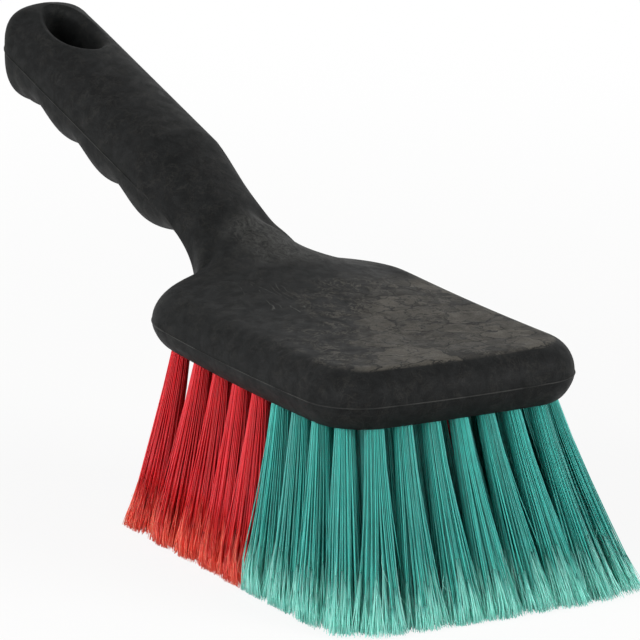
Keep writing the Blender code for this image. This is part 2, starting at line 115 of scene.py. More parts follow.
# Grip and neck
GRIP_WIDTH = 0.0290
GRIP_TOP_RISE = 0.0136
GRIP_UNDER_DROP = 0.0142
GRIP_TILT = math.radians(15.0)
GRIP_END_AXIS_HEIGHT = 0.1018
GRIP_END_LENGTH = 0.0125
GRIP_END_FLAT = 0.0004
FINGER_PITCH = 0.0245
FINGER_DEPTH = 0.0034
FINGER_COUNT = 3
LAST_FINGER_FROM_SHOULDER = 0.0035
SHOULDER_X = REAR_X - 0.0463
SHOULDER_FALL = 0.54
FOOT_X = REAR_X + 0.0227
NECK_FOOT_FALL = 0.16
NECK_WIDTH = 0.0261
NECK_TAPER_LENGTH = 0.0200
WAIST_X = REAR_X - 0.0218
NECK_FILL = 0.0034
NECK_FILL_X = REAR_X - 0.0060
NECK_FILL_LENGTH = 0.0080
NECK_FILL_Y = 0.0099
NECK_FILL_WIDTH = 0.0068
NECK_FILL_RISE = (0.001, 0.004)
NECK_UNDER_FILLET_LENGTH = 0.0225
NECK_UNDER_HEIGHT = 0.0680
FLARE_LENGTH = 0.0215
FLARE_SHARE = 0.472
FLARE_WIDTH = (BLOCK_WIDTH - NECK_WIDTH) / 2 * FLARE_SHARE
PARTING_END_FALL = 0.65
FLASH_SHARE = 0.7
SHARP_ANGLE = math.radians(40)

# Hanging hole and tuft holes
HOLE_FROM_END = 0.0198
HOLE_LENGTH = 0.0262
HOLE_WIDTH = 0.0112
HOLE_RIM = 0.0044
HOLE_UNDER_RIM = 0.0022
HOLE_RIM_TURN = math.radians(78)
HOLE_RIM_STEPS = 7
HOLE_SIDES = 72
TUFT_DIAMETER = 0.0050
TUFT_HOLE_DIAMETER = 0.0056
TUFT_HOLE_DEPTH = 0.0110
TUFT_HOLE_SIDES = 24
OVERRUN = 0.010
MERGE = 0.00001

# Flat wire staple: thickness, length across the hole, height
STAPLE_SIZE = (0.00035, 0.0054, 0.0022)

# Exponents and shares of the rounded sections
SECTION_EXPONENT = 2.25
END_SECTION_EXPONENT = 3.4
END_EXPONENT = 2.7
FRONT_CORNER_EXPONENT = 2.0
REAR_CORNER_EXPONENT = 2.4
EDGE_ROLL_EXPONENT = 2.15
REAR_ROLL_EXPONENT = 2.0
PLATEAU_EXPONENT = 0.8
UNDER_EXPONENT = 1.45
END_SPINE_SHARE = 0.8
SIDE_SPINE_SHARE = 0.50
ROLL_LIMIT_SHARE = 0.9

# Ribs, steps across a rib and passes of smoothing, for each step of fineness
END_RIBS = 6
GRIP_RIBS = 19
NECK_RIBS = 5
FLARE_RIBS = 7
REAR_CORNER_RIBS = 5
SIDE_RIBS = 6
FRONT_CORNER_RIBS = 6
FRONT_RIBS = 4
ROLL_STEPS = 5
PLATEAU_STEPS = 5
UNDER_ROLL_STEPS = 4
KEEL_STEPS = 4
SMOOTHING_PASSES = 8

# How filaments are packed in a hole, and open, lean, clump and stray down to the tips
SEED_STEP = 1000
JITTER_SHARE = 0.20
RING_PITCH_SHARE = 0.94
TIP_RADIUS_SHARES = (0.94, 1.06)
SIDE_ROW_Y = 0.0285
SIDE_ROW_FILL = (1.22, 0.92)
SIDE_ROW_OPENING = 0.95
ROW_FILL = (0.92, 1.10)
ROW_OPENING = 1.4
TUFT_LEAN = 0.0005
TUFT_BOW = 1.12
CLUMP_COUNT = 11
CLUMP_PULL = (0.05, 0.35)
STRAY = 0.0007
FAR_STRAY = 0.0016
FAR_STRAY_SHARE = 0.05
BOX_SOFTNESS = 0.0016

# A filament's rings from its seat down to where it splits: heights, radii and paleness
SHAFT_HEIGHTS = (BRISTLE_LENGTH + 0.010, BRISTLE_LENGTH - 0.0005, 0.038, 0.027, 0.0175)
SHAFT_RADII = (1, 1, 1, 1, 1, 0.85)
SHAFT_FLAGS = (0, 0, 0, 0, 0, 0.2)
SHAFT_SIDES = 4
SPLIT_SHARES = (0.45, 1.3)

# The fibres that it splits into: steps down to the tip, radii and paleness
FIBRE_COUNT = 4
FIBRE_STEPS = (0.0, 0.35, 0.7, 1.0)
FIBRE_RADII = (0.62, 0.60, 0.56, 0.48)
FIBRE_FLAGS = (0.25, 0.75, 1.0, 1.0)
FIBRE_SIDES = 3
FIBRE_SPREAD = (0.0003, 0.0014)
FIBRE_BEND = 1.4
FIBRE_START = 0.1
FIBRE_OVERLAP = 0.0004
FIBRE_PALENESS = (0.5, 1.0)

# How unevenly filaments and fibres are cut: spread and limit
SHAFT_CUT = (0.0003, 0.0012)
FIBRE_CUT = (0.0002, 0.0016)

# Hairs that curl across the tips
HAIR_COUNT = 9
HAIR_RINGS = 8
HAIR_RADII = (0.3,) * HAIR_RINGS
HAIR_FLAGS = (1,) * HAIR_RINGS
HAIR_ROOT_SHARE = 0.6
HAIR_HEIGHT_SHARES = (0.6, 1.3)
HAIR_FALL_SHARES = (0.2, 0.8)
HAIR_TURN = 4
HAIR_REACH = (0.001, 0.003)

# Studio; softboxes: name, azimuth and elevation in degrees, distance, size, watts
STUDIO_LAMPS = (
    ("key_softbox", 10, 18, 1.5, 1.2, 29),
    ("back_softbox", 225, 30, 1.8, 0.9, 1.5),
    ("front_fill", 124, 18, 1.7, 1.0, 27),
)
LAMP_TARGET = Vector((0.02, 0, 0.05))
CAMERA_TARGET = Vector((BLOCK_MIDDLE_X, -0.01296, 0.06384))
FLOOR_RADIUS = 2.0
FLOOR_DROP = 0.0002
WORLD_STRENGTH = 0.20
WHITE = (1, 1, 1, 1)

# Kinds of node and their settings
EASED = {"interpolation_type": "SMOOTHSTEP"}
FADE = ("MapRange", EASED)
TIMES = ("Math", {"operation": "MULTIPLY"})
ADDED = ("Math", {"operation": "MULTIPLY_ADD"})
LARGER = ("Math", {"operation": "MAXIMUM"})

# Noise that pushes places about: its size, and how far it pushes
POURED = (0.006, 0.009)
CURLED = (0.006, 0.008)
DRAWN = (0.012, 0.004)

# Folds of melt: size as a share of the largest, and width of the seams
FOLDS = ((1.0, 0.055), (0.45, 0.08))
FOLD_BREAKS = 0.005
FOLD_BREAK_VALUES = (0.44, 0.58)
SMALL_FOLD_TONE = 0.4
MELT_SLANT = 0.54
MELT_WANDER = 0.030
FAINT_STROKE = (0.08, 0.75)
WRINKLE_TONE = 0.45
SHEEN_COLOUR = "#3f3f3d"
# Colour of the pale scratches, and of the painted highlight on the parting line's flash
SCRATCH_AND_HIGHLIGHT_COLOUR = "#4a4a48"

# Bristles and wire
RED_UNEVENNESS = 0.14
GREEN_UNEVENNESS = 0.30
STREAK_LENGTH = 0.003
STREAK_TONES = (0.93, 1.07)
ROLLED_LINE = 0.0002
STEEL_COLOURS = ("#b4b1ac", "#c9c7c3")

# The floor's glow: distances between which it rises, and its shares there
FLOOR_GLOW = (0.1, 0.6, 0.88, 1.0)


def linear(code):
    """Linear colour of an sRGB hex value."""
    levels = [int(code[place : place + 2], 16) / 255 for place in (1, 3, 5)]
    return tuple(c / 12.92 if c <= 0.04045 else ((c + 0.055) / 1.055) ** 2.4 for c in levels)


def mix(a, b, share):
    return a + (b - a) * share


def ease(value):
    value = min(1.0, max(0.0, value))
    return value * value * (3 - 2 * value)


def between(x, start, end):
    return min(1.0, max(0.0, (x - start) / (end - start)))


def fair_curve(x, start, start_z, start_slope, end, end_z, end_slope):
    """Height at x on the cubic that joins two heights with the given slopes."""
    run = end - start
    u = between(x, start, end)
    rise = start_z * (2 * u**3 - 3 * u**2 + 1) + end_z * (3 * u**2 - 2 * u**3)
    lean = start_slope * (u**3 - 2 * u**2 + u) + end_slope * (u**3 - u**2)
    return rise + lean * run


def round_corner(angle, length, width, exponent):
    """Point on a quarter of a superellipse."""
    x = length * (1 - math.cos(angle) ** (2 / exponent))
    y = width * math.sin(angle) ** (2 / exponent)
    return x, y


def grip_axis_z(x):
    return GRIP_END_AXIS_HEIGHT - (x - END_X) * math.tan(GRIP_TILT)


def finger_wave(x):
    """0 on the swellings between the fingers, -1 in the finger grooves, and 0 past the last of them."""
    last = SHOULDER_X - LAST_FINGER_FROM_SHOULDER
    first = last - FINGER_COUNT * FINGER_PITCH
    turn = math.cos(2 * math.pi * (x - last) / FINGER_PITCH)
    fade_in = ease(between(x, first, first + FINGER_PITCH / 2))
    fade_out = ease(between(x, SHOULDER_X + FINGER_PITCH / 2, last))
    return fade_in * fade_out * (turn - 1) / 2


def block_sag(x):
    """How far the block bows down between its two ends."""
    return BLOCK_SAG * max(0.0, 1 - (2 * (x - BLOCK_MIDDLE_X) / BLOCK_LENGTH) ** 2)


def spine_top(x):
    """Height of the top on the centre line."""
    grip_end = grip_axis_z(SHOULDER_X) + GRIP_TOP_RISE
    foot = EDGE_Z + CROWN_REAR_RISE
    if x < SHOULDER_X:
        drop = GRIP_END_FLAT * (1 - ease(between(x, END_X, END_X + 2 * GRIP_END_LENGTH)))
        return grip_axis_z(x) + GRIP_TOP_RISE - drop
    if x < FOOT_X:
        return fair_curve(x, SHOULDER_X, grip_end, -SHOULDER_FALL, FOOT_X, foot, -NECK_FOOT_FALL)
    return fair_curve(x, FOOT_X, foot, -NECK_FOOT_FALL, FRONT_X, EDGE_Z - CROWN_FRONT_DISH, 0)


def grip_bottom(x):
    drop = GRIP_UNDER_DROP - GRIP_END_FLAT * (1 - ease(between(x, END_X, END_X + 2 * GRIP_END_LENGTH)))
    return grip_axis_z(x) - drop - FINGER_DEPTH * finger_wave(x)


def spine_bottom(x):
    """Height of the underside on the centre line: finger grooves, neck, fillet, then the flat block."""
    fillet_start = REAR_X - NECK_UNDER_FILLET_LENGTH
    if x < SHOULDER_X:
        return grip_bottom(x)
    if x < fillet_start:
        return fair_curve(x, SHOULDER_X, grip_bottom(SHOULDER_X), 0, fillet_start, NECK_UNDER_HEIGHT, 0)
    if x < REAR_X:
        across = (x - fillet_start) / NECK_UNDER_FILLET_LENGTH
        return BRISTLE_LENGTH + (NECK_UNDER_HEIGHT - BRISTLE_LENGTH) * math.sqrt(1 - across**2)
    return BRISTLE_LENGTH


def parting_z(x):
    """Height of the mould parting line, along the outline."""
    tilt = math.tan(GRIP_TILT)
    if x < SHOULDER_X:
        return grip_axis_z(x)
    if x < REAR_X:
        return fair_curve(x, SHOULDER_X, grip_axis_z(SHOULDER_X), -tilt, REAR_X, PARTING_Z, -PARTING_END_FALL)
    return PARTING_Z


def front_bow(y):
    return BLOCK_FRONT_BOW * (2 * y / BLOCK_WIDTH) ** 2


def side_y(x):
    return BLOCK_WIDTH / 2 - BLOCK_SIDE_BOW * (2 * (x - BLOCK_MIDDLE_X) / BLOCK_LENGTH) ** 2


def grip_half_width(x):
    waist = ease(between(x, SHOULDER_X, SHOULDER_X + NECK_TAPER_LENGTH))
    return mix(GRIP_WIDTH, NECK_WIDTH, waist) / 2


def grip_top_drop(y):
    """How far the grip's rounded top lies below its middle line."""
    across = min(1.0, 2 * abs(y) / GRIP_WIDTH)
    rise = (1 - across**SECTION_EXPONENT) ** (1 / SECTION_EXPONENT)
    return GRIP_TOP_RISE * (1 - rise)


def spaced(count, last=0):
    """Steps along a stretch, as shares of it and of a quarter turn; the last is left to the next stretch."""
    return [(step / count, math.pi / 2 * step / count) for step in range(count + last)]


def outline(fineness):
    """Half outline at the parting line, as ribs (x, y, spine x) from the grip's end to the front."""
    ribs = []
    end_side_x = END_X + GRIP_END_LENGTH
    end_width = grip_half_width(end_side_x)
    for share, angle in spaced(END_RIBS * fineness):
        x, y = round_corner(angle, GRIP_END_LENGTH, end_width, END_EXPONENT)
        ribs.append((END_X + x, y, END_X + GRIP_END_LENGTH * mix(END_SPINE_SHARE, 1.0, share)))
    for start, end, count in ((end_side_x, SHOULDER_X, GRIP_RIBS), (SHOULDER_X, WAIST_X, NECK_RIBS)):
        for share, _ in spaced(count * fineness):
            x = mix(start, end, share)
            ribs.append((x, grip_half_width(x), x))
    spine_start = REAR_X - FLARE_SPINE_BACK
    for share, angle in spaced(FLARE_RIBS * fineness):
        x = WAIST_X + FLARE_LENGTH * math.sin(angle)
        y = NECK_WIDTH / 2 + FLARE_WIDTH * (1 - math.cos(angle))
        ribs.append((x, y, mix(WAIST_X, spine_start, share)))
    corner_start = (WAIST_X + FLARE_LENGTH, NECK_WIDTH / 2 + FLARE_WIDTH)
    side_start_x = corner_start[0] + REAR_CORNER_LENGTH
    corner_width = side_y(side_start_x) - corner_start[1]
    for share, angle in spaced(REAR_CORNER_RIBS * fineness):
        x, y = round_corner(angle, REAR_CORNER_LENGTH, corner_width, REAR_CORNER_EXPONENT)
        ribs.append((corner_start[0] + x, corner_start[1] + y, mix(spine_start, side_start_x, share)))
    side_end_x = FRONT_X - BLOCK_FRONT_BOW - FRONT_CORNER_RADIUS
    side_spine_end = FRONT_X - BLOCK_WIDTH * SIDE_SPINE_SHARE
    for share, _ in spaced(SIDE_RIBS * fineness):
        x = mix(side_start_x, side_end_x, share)
        ribs.append((x, side_y(x), mix(side_start_x, side_spine_end, share)))
    corner_y = side_y(side_end_x) - FRONT_CORNER_RADIUS
    corner_length = FRONT_X - front_bow(corner_y) - side_end_x
    corner_spine_end = side_spine_end + CORNER_SPINE_RUN
    for share, _ in spaced(FRONT_CORNER_RIBS * fineness):
        angle = math.pi / 2 * (1 - share)
        back, y = round_corner(angle, corner_length, FRONT_CORNER_RADIUS, FRONT_CORNER_EXPONENT)
        spine = mix(side_spine_end, corner_spine_end, share)
        ribs.append((side_end_x + corner_length - back, corner_y + y, spine))
    front_spine_end = corner_spine_end + FRONT_SPINE_RUN
    for share, _ in spaced(FRONT_RIBS * fineness, last=1):
        y = corner_y * (1 - share)
        ribs.append((FRONT_X - front_bow(y), y, mix(corner_spine_end, front_spine_end, share)))
    return ribs


def block_share(x):
    """0 where the section is the grip's, 1 where it is the block's."""
    return ease(between(x, WAIST_X, WAIST_X + FLARE_LENGTH))


def half_section(share, grip, roll, flat_exponent, steps):
    """Half a rib, as shares of the way in and heights off the parting line.

    The grip's is a quarter round. The block's is a roll (length, height, exponent), then a plateau.
    """
    height, exponent = grip
    roll_steps, flat_steps = steps
    points = []
    for step in range(roll_steps + flat_steps + 1):
        on_grip = round_corner(math.pi / 2 * step / (roll_steps + flat_steps), 1, height, exponent)
        if step <= roll_steps:
            on_block = round_corner(math.pi / 2 * step / roll_steps, *roll)
        else:
            flat = (step - roll_steps) / flat_steps
            on_block = mix(roll[0], 1.0, flat), mix(roll[1], height, ease(flat**flat_exponent))
        points.append([mix(*both, share) for both in zip(on_grip, on_block)])
    return points


def rib_section(x, y, spine_x, fineness, lip):
    """One rib, from the top of the centre line out over the parting lip and back under it."""
    share = block_share(x)
    seam = parting_z(x)
    end_share = 1 - ease(between(x, END_X, END_X + GRIP_END_LENGTH))
    exponent = mix(SECTION_EXPONENT, END_SECTION_EXPONENT, end_share)
    reach = math.hypot(x - spine_x, y)
    crown = spine_top(spine_x) - seam
    keel = seam - spine_bottom(spine_x)
    rear_share = ease(between(y, REAR_ROLL_FROM, REAR_ROLL_FROM + REAR_ROLL))
    rear_share *= 1 - ease(between(x, REAR_X, REAR_X + REAR_CORNER_LENGTH))
    roll = min(mix(EDGE_ROLL, REAR_ROLL, rear_share) / reach, ROLL_LIMIT_SHARE)
    edge = (roll, PARTING_TO_EDGE, mix(EDGE_ROLL_EXPONENT, REAR_ROLL_EXPONENT, rear_share))
    steps = (ROLL_STEPS * fineness, PLATEAU_STEPS * fineness)
    upper = half_section(share, (crown, exponent), edge, PLATEAU_EXPONENT, steps)
    under_edge = (min(UNDER_ROLL / reach, ROLL_LIMIT_SHARE), seam - BRISTLE_LENGTH, UNDER_EXPONENT)
    steps = (UNDER_ROLL_STEPS * fineness, KEEL_STEPS * fineness)
    lower = half_section(share, (keel, exponent), under_edge, 1, steps)
    inset = lip / reach
    heights = [(mix(inset, 1.0, along), seam + mix(lip, crown, rise / crown)) for along, rise in upper[::-1]]
    heights += [(0.0, seam + lip / 2), (0.0, seam - lip / 2)]
    heights += [(mix(inset, 1.0, along), seam - mix(lip, keel, drop / keel)) for along, drop in lower]
    points = []
    for along, height in heights:
        point_x = mix(x, spine_x, along)
        points.append(Vector((point_x, y * (1 - along), height - block_sag(point_x))))
    return points


def neck_blend(place):
    """How much the surface is smoothed at a place: fully where the neck meets the block's top."""
    start = ease(between(place.x, SHOULDER_X, SHOULDER_X + NECK_TAPER_LENGTH / 2))
    end = 1 - ease(between(place.x, REAR_X + REAR_CORNER_LENGTH / 3, FOOT_X))
    return start * end * ease(between(place.z, BRISTLE_LENGTH + UNDERSIDE_TO_PARTING / 2, EDGE_Z))


def neck_fill(place):
    """Height that fills the hollow where the neck's side runs into the block's shoulder."""
    along = ease(1 - abs(place.x - NECK_FILL_X) / NECK_FILL_LENGTH)
    across = ease(1 - abs(abs(place.y) - NECK_FILL_Y) / NECK_FILL_WIDTH)
    return NECK_FILL * along * across * ease(between(place.z - parting_z(place.x), *NECK_FILL_RISE))


def on_flash(place, lip):
    """1 on the thin flash that the mould leaves along its parting line, else 0."""
    return float(abs(place.z + block_sag(place.x) - parting_z(place.x)) < FLASH_SHARE * lip)


def new_object(data, materials=()):
    for material in materials:
        data.materials.append(material)
    thing = bpy.data.objects.new(data.name, data)
    bpy.context.scene.collection.objects.link(thing)
    return thing


def finish_piece(piece, node_names):
    """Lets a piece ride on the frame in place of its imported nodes."""
    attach(piece, ROOT)
    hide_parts(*node_names)


def loft(builder, rings, closed):
    """Quads between rings that have the same number of points."""
    made = [[builder.verts.new(point) for point in ring] for ring in rings]
    count = len(rings[0])
    for lower, upper in zip(made, made[1:]):
        for index in range(count if closed else count - 1):
            other = (index + 1) % count
            builder.faces.new((lower[index], lower[other], upper[other], upper[index]))
    return made


def mesh_from(builder, name):
    mesh = bpy.data.meshes.new(name)
    bmesh.ops.recalc_face_normals(builder, faces=builder.faces)
    builder.to_mesh(mesh)
    builder.free()
    return mesh


def apply_modifiers(thing):
    """Keeps the mesh that the modifiers make and removes them."""
    bpy.context.view_layer.update()
    depsgraph = bpy.context.evaluated_depsgraph_get()
    mesh = bpy.data.meshes.new_from_object(thing.evaluated_get(depsgraph))
    thing.modifiers.clear()
    thing.data = mesh


def set_inputs(node, inputs):
    """Sets or links a node's inputs, given in their order or by name."""
    for key, value in inputs.items() if isinstance(inputs, dict) else enumerate(inputs):
        if isinstance(value, bpy.types.NodeSocket):
            node.id_data.links.new(value, node.inputs[key])
        else:
            node.inputs[key].default_value = value


def add_node(tree, kind, inputs=(), output=0, **settings):
    """Adds a node with its settings, values and links, and gives one of its outputs."""
    node = tree.nodes.new("ShaderNode" + kind)
    for name, value in settings.items():
        setattr(node, name, value)
    set_inputs(node, inputs)
    return node.outputs[output]


def new_material(name):
    """A node material, what adds nodes to it, and its shader."""
    material = bpy.data.materials.new(name)
    material.use_nodes = True
    tree = material.node_tree
    return material, partial(add_node, tree), tree.nodes["Principled BSDF"]


def shifted(add, place, size, distance):
    """Places pushed about by noise, so that what is drawn on them looks poured."""
    push = add("TexNoise", {"Vector": place, "Scale": 1 / size, "Detail": 4}, "Color")
    centred = add("VectorMath", (push, (0.5, 0.5, 0.5)), operation="SUBTRACT")
    scaled = add("VectorMath", {0: centred, "Scale": distance}, operation="SCALE")
    return add("VectorMath", (place, scaled), operation="ADD")


def melt_folds(add, place, poured, fold):
    """Seams between patches of two sizes, and the patches' tones."""
    creases = []
    tones = []
    for share, width in FOLDS:
        inputs = {"Vector": poured, "Scale": 1 / (fold * share)}
        edge = add("TexVoronoi", inputs, "Distance", feature="DISTANCE_TO_EDGE")
        creases.append(add("MapRange", (edge, 0.0, width, 1.0, 0.0), **EASED))
        tones.append(add("SeparateColor", (add("TexVoronoi", inputs, "Color"),), "Red"))
    breaks = add("TexNoise", {"Vector": place, "Scale": 1 / FOLD_BREAKS, "Detail": 3})
    broken = add("MapRange", (breaks, *FOLD_BREAK_VALUES), **EASED)
    small = add("Math", (creases[1], broken), operation="MULTIPLY")
    crease = add("Math", (creases[0], small), operation="MAXIMUM")
    return crease, add("Math", (tones[1], SMALL_FOLD_TONE, tones[0]), operation="MULTIPLY_ADD")


def black_moulded_polypropylene(settings):
    """Carbon-black polypropylene: dull, with flow marks where the melt cooled last, whose pale colour on the
    top is partly a painted sheen.
    """
    material, add, shader = new_material("black moulded polypropylene")
    place = add("TexCoord", output="Object")
    axes = add("SeparateXYZ", (place,)).node.outputs
    poured = shifted(add, place, *POURED)
    curled = shifted(add, place, *CURLED)
    crease, tone = melt_folds(add, place, poured, settings.fold)
    parts = {"X": axes["X"], "Y": axes["Y"], "crease": crease, "tone": tone}
    parts["up"] = add("SeparateXYZ", (add("NewGeometry", output="Normal"),), "Z")
    parts["flash"] = add("Attribute", output="Fac", attribute_name="flash")

    # Noise: its places, their stretch, the width of its blotches, its detail and its roughness
    for name, where, stretch, size, *grit in (
        ("cloud", place, None, 0.014, 3),
        ("patches", place, None, 0.006, 3),
        ("dullness", curled, None, 0.004, 4),
        ("wrinkles", poured, None, 0.003, 2),
        ("wisps", curled, None, 0.0034, 3),
        ("curls", curled, (0.45, 1.0, 0.6), 0.0021, 2),
        ("brushed", curled, (0.40, 1.0, 0.5), 0.0008, 3),
        ("scratches", shifted(add, place, *DRAWN), (0.12, 1.0, 0.3), 0.0024, 0),
        ("scuffs", place, None, 0.004, 1),
        ("mottle", curled, (0.6, 1.0, 1.0), settings.grain * 8, 5, 0.6),
        ("grain", place, None, settings.grain, 3, 0.7),
    ):
        if stretch:
            where = add("Mapping", {"Vector": where, "Scale": stretch})
        parts[name] = add("TexNoise", (where, 0.0, 1 / size, *grit))

    # Lines where a noise passes its middle value, with their width in its values
    for name, width in (("curls", 0.045), ("wisps", 0.035), ("scratches", 0.022), ("wrinkles", 0.03)):
        off = add("Math", (parts[name], 0.5), operation="SUBTRACT")
        off = add("Math", (off,), operation="ABSOLUTE")
        parts[name] = add("MapRange", (off, 0.0, width, 1.0, 0.0), **EASED)

    # Bands of the top: where they begin and end, and how far they fade
    for name, axis, low, high, soft in (
        ("along", "X", 0.026, 0.052, 0.006),
        ("across", "Y", -0.018, -0.010, 0.003),
        ("foot", "X", -0.005, 0.012, 0.009),
    ):
        start = add("MapRange", (axes[axis], low - soft, low), **EASED)
        end = add("MapRange", (axes[axis], high, high + soft, 1.0, 0.0), **EASED)
        parts[name] = add("Math", (start, end), operation="MULTIPLY")

    # What is made of those parts and of the rows above
    for name, (kind, how), *inputs in (
        # The melt ran from the neck to the far front corner and cooled last there. The flow marks there on
        # the level top are partly real and partly a painted sheen, the lamps' reflection on the far top
        ("slant", ADDED, "X", MELT_SLANT, "Y"),
        ("run", ADDED, "cloud", MELT_WANDER, "slant"),
        ("level", FADE, "up", 0.90, 0.975),
        ("block", FADE, "X", 0.022, 0.040),
        ("block", TIMES, "block", "level"),
        ("stroked", FADE, "run", 0.016, 0.038),
        ("stroked", TIMES, "stroked", "block"),
        ("cooled", FADE, "run", 0.036, 0.058),
        ("cooled", TIMES, "cooled", "block"),
        # Fine curls that the flow draws, about 0.3 mm wide
        ("curls", LARGER, "curls", "wisps"),
        ("patches", FADE, "patches", 0.40, 0.60),
        ("stroke", TIMES, "curls", "patches"),
        ("faint", FADE, "stroked", 0.0, 1.0, *FAINT_STROKE),
        ("faint", TIMES, "stroke", "faint"),
        ("tone", FADE, "tone", 0.1, 1.3, 0.15, 1.10),
        # Pale flow marks, partly real and partly a painted sheen on the far top
        ("grey", TIMES, "cooled", "tone"),
        ("seams", FADE, "crease", 0.0, 1.0, 1.0, 0.05),
        ("grey", TIMES, "grey", "seams"),
        ("wrinkles", TIMES, "wrinkles", "patches"),
        ("wrinkles", FADE, "wrinkles", 0.0, 1.0, 1.0, WRINKLE_TONE),
        ("grey", TIMES, "grey", "wrinkles"),
        # Pale scratches on the near side of the top, past the neck's foot
        ("scuffs", FADE, "scuffs", 0.46, 0.62),
        ("scratch", TIMES, "scratches", "scuffs"),
        ("scratch", TIMES, "scratch", "along"),
        ("scratch", TIMES, "scratch", "across"),
        ("scratch", TIMES, "scratch", "level"),
        # Dull sheen of fine strokes on the far side of the neck's foot
        ("far side", FADE, "Y", -0.011, -0.002),
        ("sheen", TIMES, "foot", "far side"),
        ("rising", FADE, "up", 0.25, 0.65),
        ("sheen", TIMES, "sheen", "rising"),
        ("brushed", FADE, "brushed", 0.30, 0.70, 0.10, 0.80),
        ("sheen", TIMES, "sheen", "brushed"),
        # The parting line's flash is painted pale in patches: a painted highlight where its ridge catches the
        # light
        ("worn", FADE, "cloud", 0.35, 0.60, 0.10, 0.45),
        ("worn", TIMES, "flash", "worn"),
        ("mottling", FADE, "mottle", 0.30, 0.70, 0.84, 1.16),
        ("graining", FADE, "grain", 0.30, 0.70, 0.72, 1.30),
        ("shine", FADE, "mottle", 0.30, 0.70, 0.055, 0.080),
        ("dullness", FADE, "dullness", 0.3, 0.7, 0.56, 0.68),
        ("dents", TIMES, "crease", "cooled"),
        ("relief", ADDED, "dents", -1.0, "grain"),
        ("relief", ADDED, "mottle", 0.7, "relief"),
        ("ridges", TIMES, "stroke", "stroked"),
        ("relief", ADDED, "ridges", 0.5, "relief"),
    ):
        parts[name] = add(kind, [parts.get(value, value) for value in inputs], **how)

    colour = (*settings.colour, 1)
    for factor, layer, way in (
        # Flow marks, with their painted sheen on the far top
        (parts["grey"], (*settings.flow_and_sheen_colour, 1), "MIX"),
        (parts["faint"], (*settings.flow_and_sheen_colour, 1), "MIX"),
        (parts["sheen"], (*linear(SHEEN_COLOUR), 1), "MIX"),
        (parts["scratch"], (*linear(SCRATCH_AND_HIGHLIGHT_COLOUR), 1), "MIX"),
        (1.0, parts["mottling"], "MULTIPLY"),
        (1.0, parts["graining"], "MULTIPLY"),
        # Painted highlight along the parting line's flash
        (parts["worn"], (*linear(SCRATCH_AND_HIGHLIGHT_COLOUR), 1), "MIX"),
    ):
        inputs = {"Factor": factor, "A": colour, "B": layer}
        colour = add("Mix", inputs, "Result", data_type="RGBA", blend_type=way)
    # Polypropylene refracts at about 1.49; the eroded mould's grain scatters most of its shine
    inputs = {
        "Base Color": colour,
        "IOR": 1.49,
        "Specular IOR Level": parts["shine"],
        "Roughness": parts["dullness"],
        "Normal": add("Bump", {"Height": parts["relief"], "Strength": 0.5, "Distance": 0.00006}),
    }
    set_inputs(shader, inputs)
    return material


def drawn_polyester(name, colour, tip_colour, unevenness):
    """Drawn polyester filament: glossy, and pale and dull where its tip is split into fibres."""
    material, add, shader = new_material(name)
    place = add("TexCoord", output="Object")
    shade, flag = (add("Attribute", output="Fac", attribute_name=title) for title in ("shade", "flag"))
    # Filaments of one batch differ a little in how much dye they took
    value = add("MapRange", (shade, 0.0, 1.0, 1 - unevenness, 1 + unevenness), **EASED)
    batch = add("HueSaturation", {"Color": (*colour, 1), "Value": value})
    streak = add("TexNoise", {"Vector": place, "Scale": 1 / STREAK_LENGTH, "Detail": 3})
    streak = add("MapRange", (streak, 0.3, 0.7, *STREAK_TONES), **EASED)
    inputs = {"Factor": 1.0, "A": batch, "B": streak}
    batch = add("Mix", inputs, "Result", data_type="RGBA", blend_type="MULTIPLY")
    inputs = {"Factor": flag, "A": batch, "B": (*tip_colour, 1)}
    mixed = add("Mix", inputs, "Result", data_type="RGBA")
    # The drawn skin is only part smooth, and its split fibres scatter the light. It refracts at about
    # 1.57, and light that passes through a filament comes out deeper in colour.
    inputs = {
        "Base Color": mixed,
        "Roughness": add("MapRange", (flag, 0.0, 1.0, 0.36, 0.62), **EASED),
        "IOR": 1.57,
        "Specular IOR Level": 0.2,
        "Subsurface Weight": 0.6,
        "Subsurface Radius": (1.0, 1.0, 1.0),
        "Subsurface Scale": 0.0010,
    }
    set_inputs(shader, inputs)
    return material


def flat_steel_wire():
    """Stainless flat wire: rolling leaves fine lines along it."""
    material, add, shader = new_material("rolled stainless steel wire")
    place = add("Mapping", {"Vector": add("TexCoord", output="Object"), "Scale": (1.0, 0.1, 1.0)})
    lines = add("TexNoise", {"Vector": place, "Scale": 1 / ROLLED_LINE, "Detail": 3})
    dark, bright = ((*linear(code), 1) for code in STEEL_COLOURS)
    inputs = {
        "Base Color": add("Mix", {"Factor": lines, "A": dark, "B": bright}, "Result", data_type="RGBA"),
        "Roughness": add("MapRange", (lines, 0.3, 0.7, 0.24, 0.40), **EASED),
        "Metallic": 1.0,
    }
    set_inputs(shader, inputs)
    return material


Length = partial(FloatProperty, unit="LENGTH")
Angle = partial(FloatProperty, subtype="ANGLE")
Colour = partial(FloatVectorProperty, subtype="COLOR")


class BrushBodySettings(bpy.types.PropertyGroup):
    """Sizes and colours of the moulded body."""

    fineness: IntProperty(name="Fineness", description="How fine the surface is", default=3, min=1, max=6)
    lip: Length(name="Parting lip", description="How far the parting line stands out", default=0.0002)
    grain: Length(name="Grain", description="Width of the mould's grain", default=0.0003)
    fold: Length(name="Fold", description="Width of the folds of melt", default=0.0096)
    colour: Colour(name="Colour", description="Colour of the moulded plastic", default=linear("#151616"))
    # The flow marks' colour also paints a sheen on the far top of the block
    flow_and_sheen_colour: Colour(name="Flow marks", description="Colour of the flow marks", default=linear("#4d4a44"))


